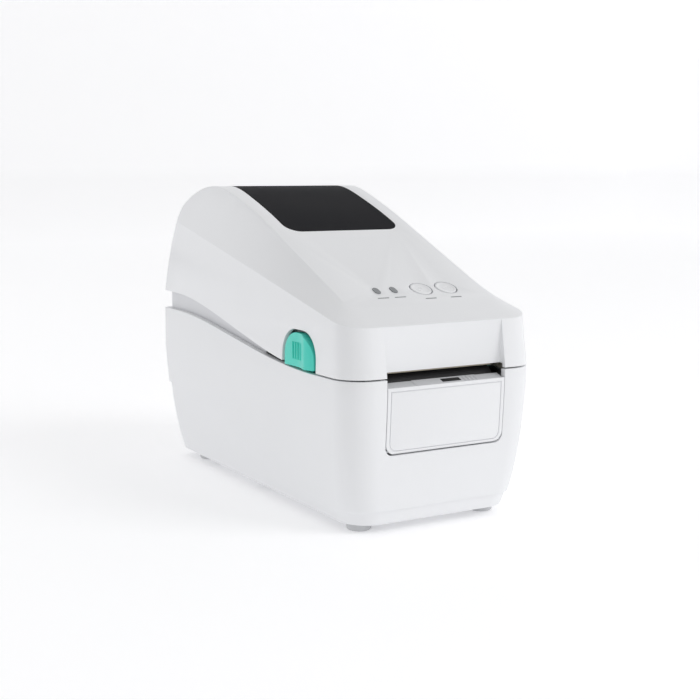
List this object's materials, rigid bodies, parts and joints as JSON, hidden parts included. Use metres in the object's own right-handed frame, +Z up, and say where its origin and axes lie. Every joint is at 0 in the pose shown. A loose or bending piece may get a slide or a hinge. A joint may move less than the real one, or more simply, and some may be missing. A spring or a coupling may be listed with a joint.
{
  "type": "thermal label printer",
  "caption": "Desktop direct thermal label printer with a hinged cover, smoked window, side pull levers, front door, roll guides and a driven platen.",
  "frame": {"origin": "on the table under the middle of the printer's length and width", "axes": "-Y is the front, where labels come out; +X is the right-hand side seen from the front; +Z is up"},
  "size_m": [0.1112, 0.22, 0.1605],
  "materials": {
    "shell_white": "fine moulded texture, warm-neutral white",
    "inner_white": "plain moulded, slightly greyer",
    "button_white": "satin",
    "smoke_window": "polished dark smoked",
    "teal_lever": "satin teal",
    "grey_plastic": "moulded mid grey",
    "black_plastic": "moulded black",
    "gear_plastic": "natural acetal",
    "foot_rubber": "light grey",
    "platen_rubber": "ground black",
    "plated_steel": "zinc plated",
    "motor_case": "black painted",
    "aluminium": "extruded",
    "head_ceramic": "glazed strip",
    "board_green": "solder mask",
    "lamp_chip": "clear lamp body"
  },
  "bodies": {
    "base": {"base_casing": "shell_white", "base_plate": "inner_white", "rubber_feet": "foot_rubber", "housing_screws": "plated_steel", "media_tub": "inner_white", "track_cover": "grey_plastic", "track_screws": "plated_steel", "print_frame": "plated_steel", "platen_bearings": "black_plastic", "stepper_motor": "motor_case", "motor_screws": "plated_steel", "paper_guide": "grey_plastic", "gap_sensor": "black_plastic", "door_pins": "plated_steel", "latch_bushings": "black_plastic", "latch_spring": "plated_steel", "hinge_pins": "plated_steel", "main_board": "board_green", "board_parts": "black_plastic", "usb_socket": "black_plastic", "power_socket": "black_plastic", "power_switch": "black_plastic"},
    "platen": {"platen_roller": "platen_rubber", "platen_shaft": "plated_steel", "platen_gear": "gear_plastic"},
    "idler": {"idler_gear": "gear_plastic"},
    "drive": {"motor_pinion": "plated_steel", "motor_shaft": "plated_steel"},
    "guide_left": {"media_guide_left": "inner_white"},
    "guide_right": {"media_guide_right": "inner_white"},
    "hub_left": {"roll_hub_left": "grey_plastic"},
    "hub_right": {"roll_hub_right": "grey_plastic"},
    "guide_gear": {"guide_pinion": "gear_plastic"},
    "door": {"front_door": "shell_white", "exit_shelf": "grey_plastic", "take_sensor_window": "black_plastic"},
    "cover": {"top_cover": "shell_white", "window": "smoke_window", "cover_inner_frame": "inner_white", "printhead": "head_ceramic", "heat_sink": "aluminium", "head_bracket": "plated_steel", "head_springs": "plated_steel", "control_board": "board_green", "tact_switches": "black_plastic", "lamp_lenses": "grey_plastic", "lamp_chips": "lamp_chip", "latch_strikers": "plated_steel"},
    "feed": {"feed_button": "button_white"},
    "pause": {"pause_button": "button_white"},
    "latch": {"latch_lever_left": "teal_lever", "latch_lever_right": "teal_lever", "latch_shaft": "plated_steel"},
    "rocker": {"power_rocker": "black_plastic"}
  },
  "joints": [
    {"name": "cover_open", "type": "hinge", "parent": "base", "child": "cover", "pos_m": [0, 0.103, 0.0954], "axis": [-1, 0, 0], "range_deg": [0, 68]},
    {"name": "platen_turn", "type": "hinge", "parent": "base", "child": "platen", "pos_m": [0, -0.096, 0.0679], "axis": [1, 0, 0], "continuous": true},
    {"name": "idler_turn", "type": "hinge", "parent": "base", "child": "idler", "pos_m": [0.0415, -0.07825, 0.05327], "axis": [1, 0, 0], "continuous": true},
    {"name": "drive_turn", "type": "hinge", "parent": "base", "child": "drive", "pos_m": [0.0415, -0.06282, 0.04055], "axis": [1, 0, 0], "continuous": true},
    {"name": "guide_left_slide", "type": "slide", "parent": "base", "child": "guide_left", "axis": [1, 0, 0], "range_m": [-0.005, 0.012]},
    {"name": "guide_right_slide", "type": "slide", "parent": "base", "child": "guide_right", "axis": [1, 0, 0], "range_m": [-0.012, 0.005]},
    {"name": "guide_gear_turn", "type": "hinge", "parent": "base", "child": "guide_gear", "pos_m": [0, 0.04, 0.04], "axis": [0, 0, 1], "range_deg": [-48, 115]},
    {"name": "hub_left_spin", "type": "hinge", "parent": "guide_left", "child": "hub_left", "pos_m": [-0.028, 0.04, 0.096], "axis": [1, 0, 0], "continuous": true},
    {"name": "hub_right_spin", "type": "hinge", "parent": "guide_right", "child": "hub_right", "pos_m": [0.028, 0.04, 0.096], "axis": [1, 0, 0], "continuous": true},
    {"name": "door_open", "type": "hinge", "parent": "base", "child": "door", "pos_m": [0, -0.1066, 0.0405], "axis": [1, 0, 0], "range_deg": [0, 45]},
    {"name": "latch_pull", "type": "hinge", "parent": "base", "child": "latch", "pos_m": [0, -0.059, 0.061], "axis": [1, 0, 0], "range_deg": [0, 4], "stiffness_Nm_per_rad": 0.6, "springref_deg": -2.86},
    {"name": "feed_press", "type": "slide", "parent": "cover", "child": "feed", "axis": [0, 0.395, -0.9187], "range_m": [0, 0.0008], "stiffness_N_per_m": 400, "springref_m": -0.0002},
    {"name": "pause_press", "type": "slide", "parent": "cover", "child": "pause", "axis": [0, 0.395, -0.9187], "range_m": [0, 0.0008], "stiffness_N_per_m": 400, "springref_m": -0.0002},
    {"name": "power_rock", "type": "hinge", "parent": "base", "child": "rocker", "pos_m": [0.024, 0.095, 0.02225], "axis": [0, 0, 1], "range_deg": [0, 16]}
  ],
  "couplings": [
    {"joint": "idler_turn", "follows": "platen_turn", "ratio": -0.53333},
    {"joint": "drive_turn", "follows": "platen_turn", "ratio": 1.6},
    {"joint": "guide_right_slide", "follows": "guide_left_slide", "ratio": -1},
    {"joint": "guide_gear_turn", "follows": "guide_left_slide", "rad_per_m": 166.67}
  ]
}
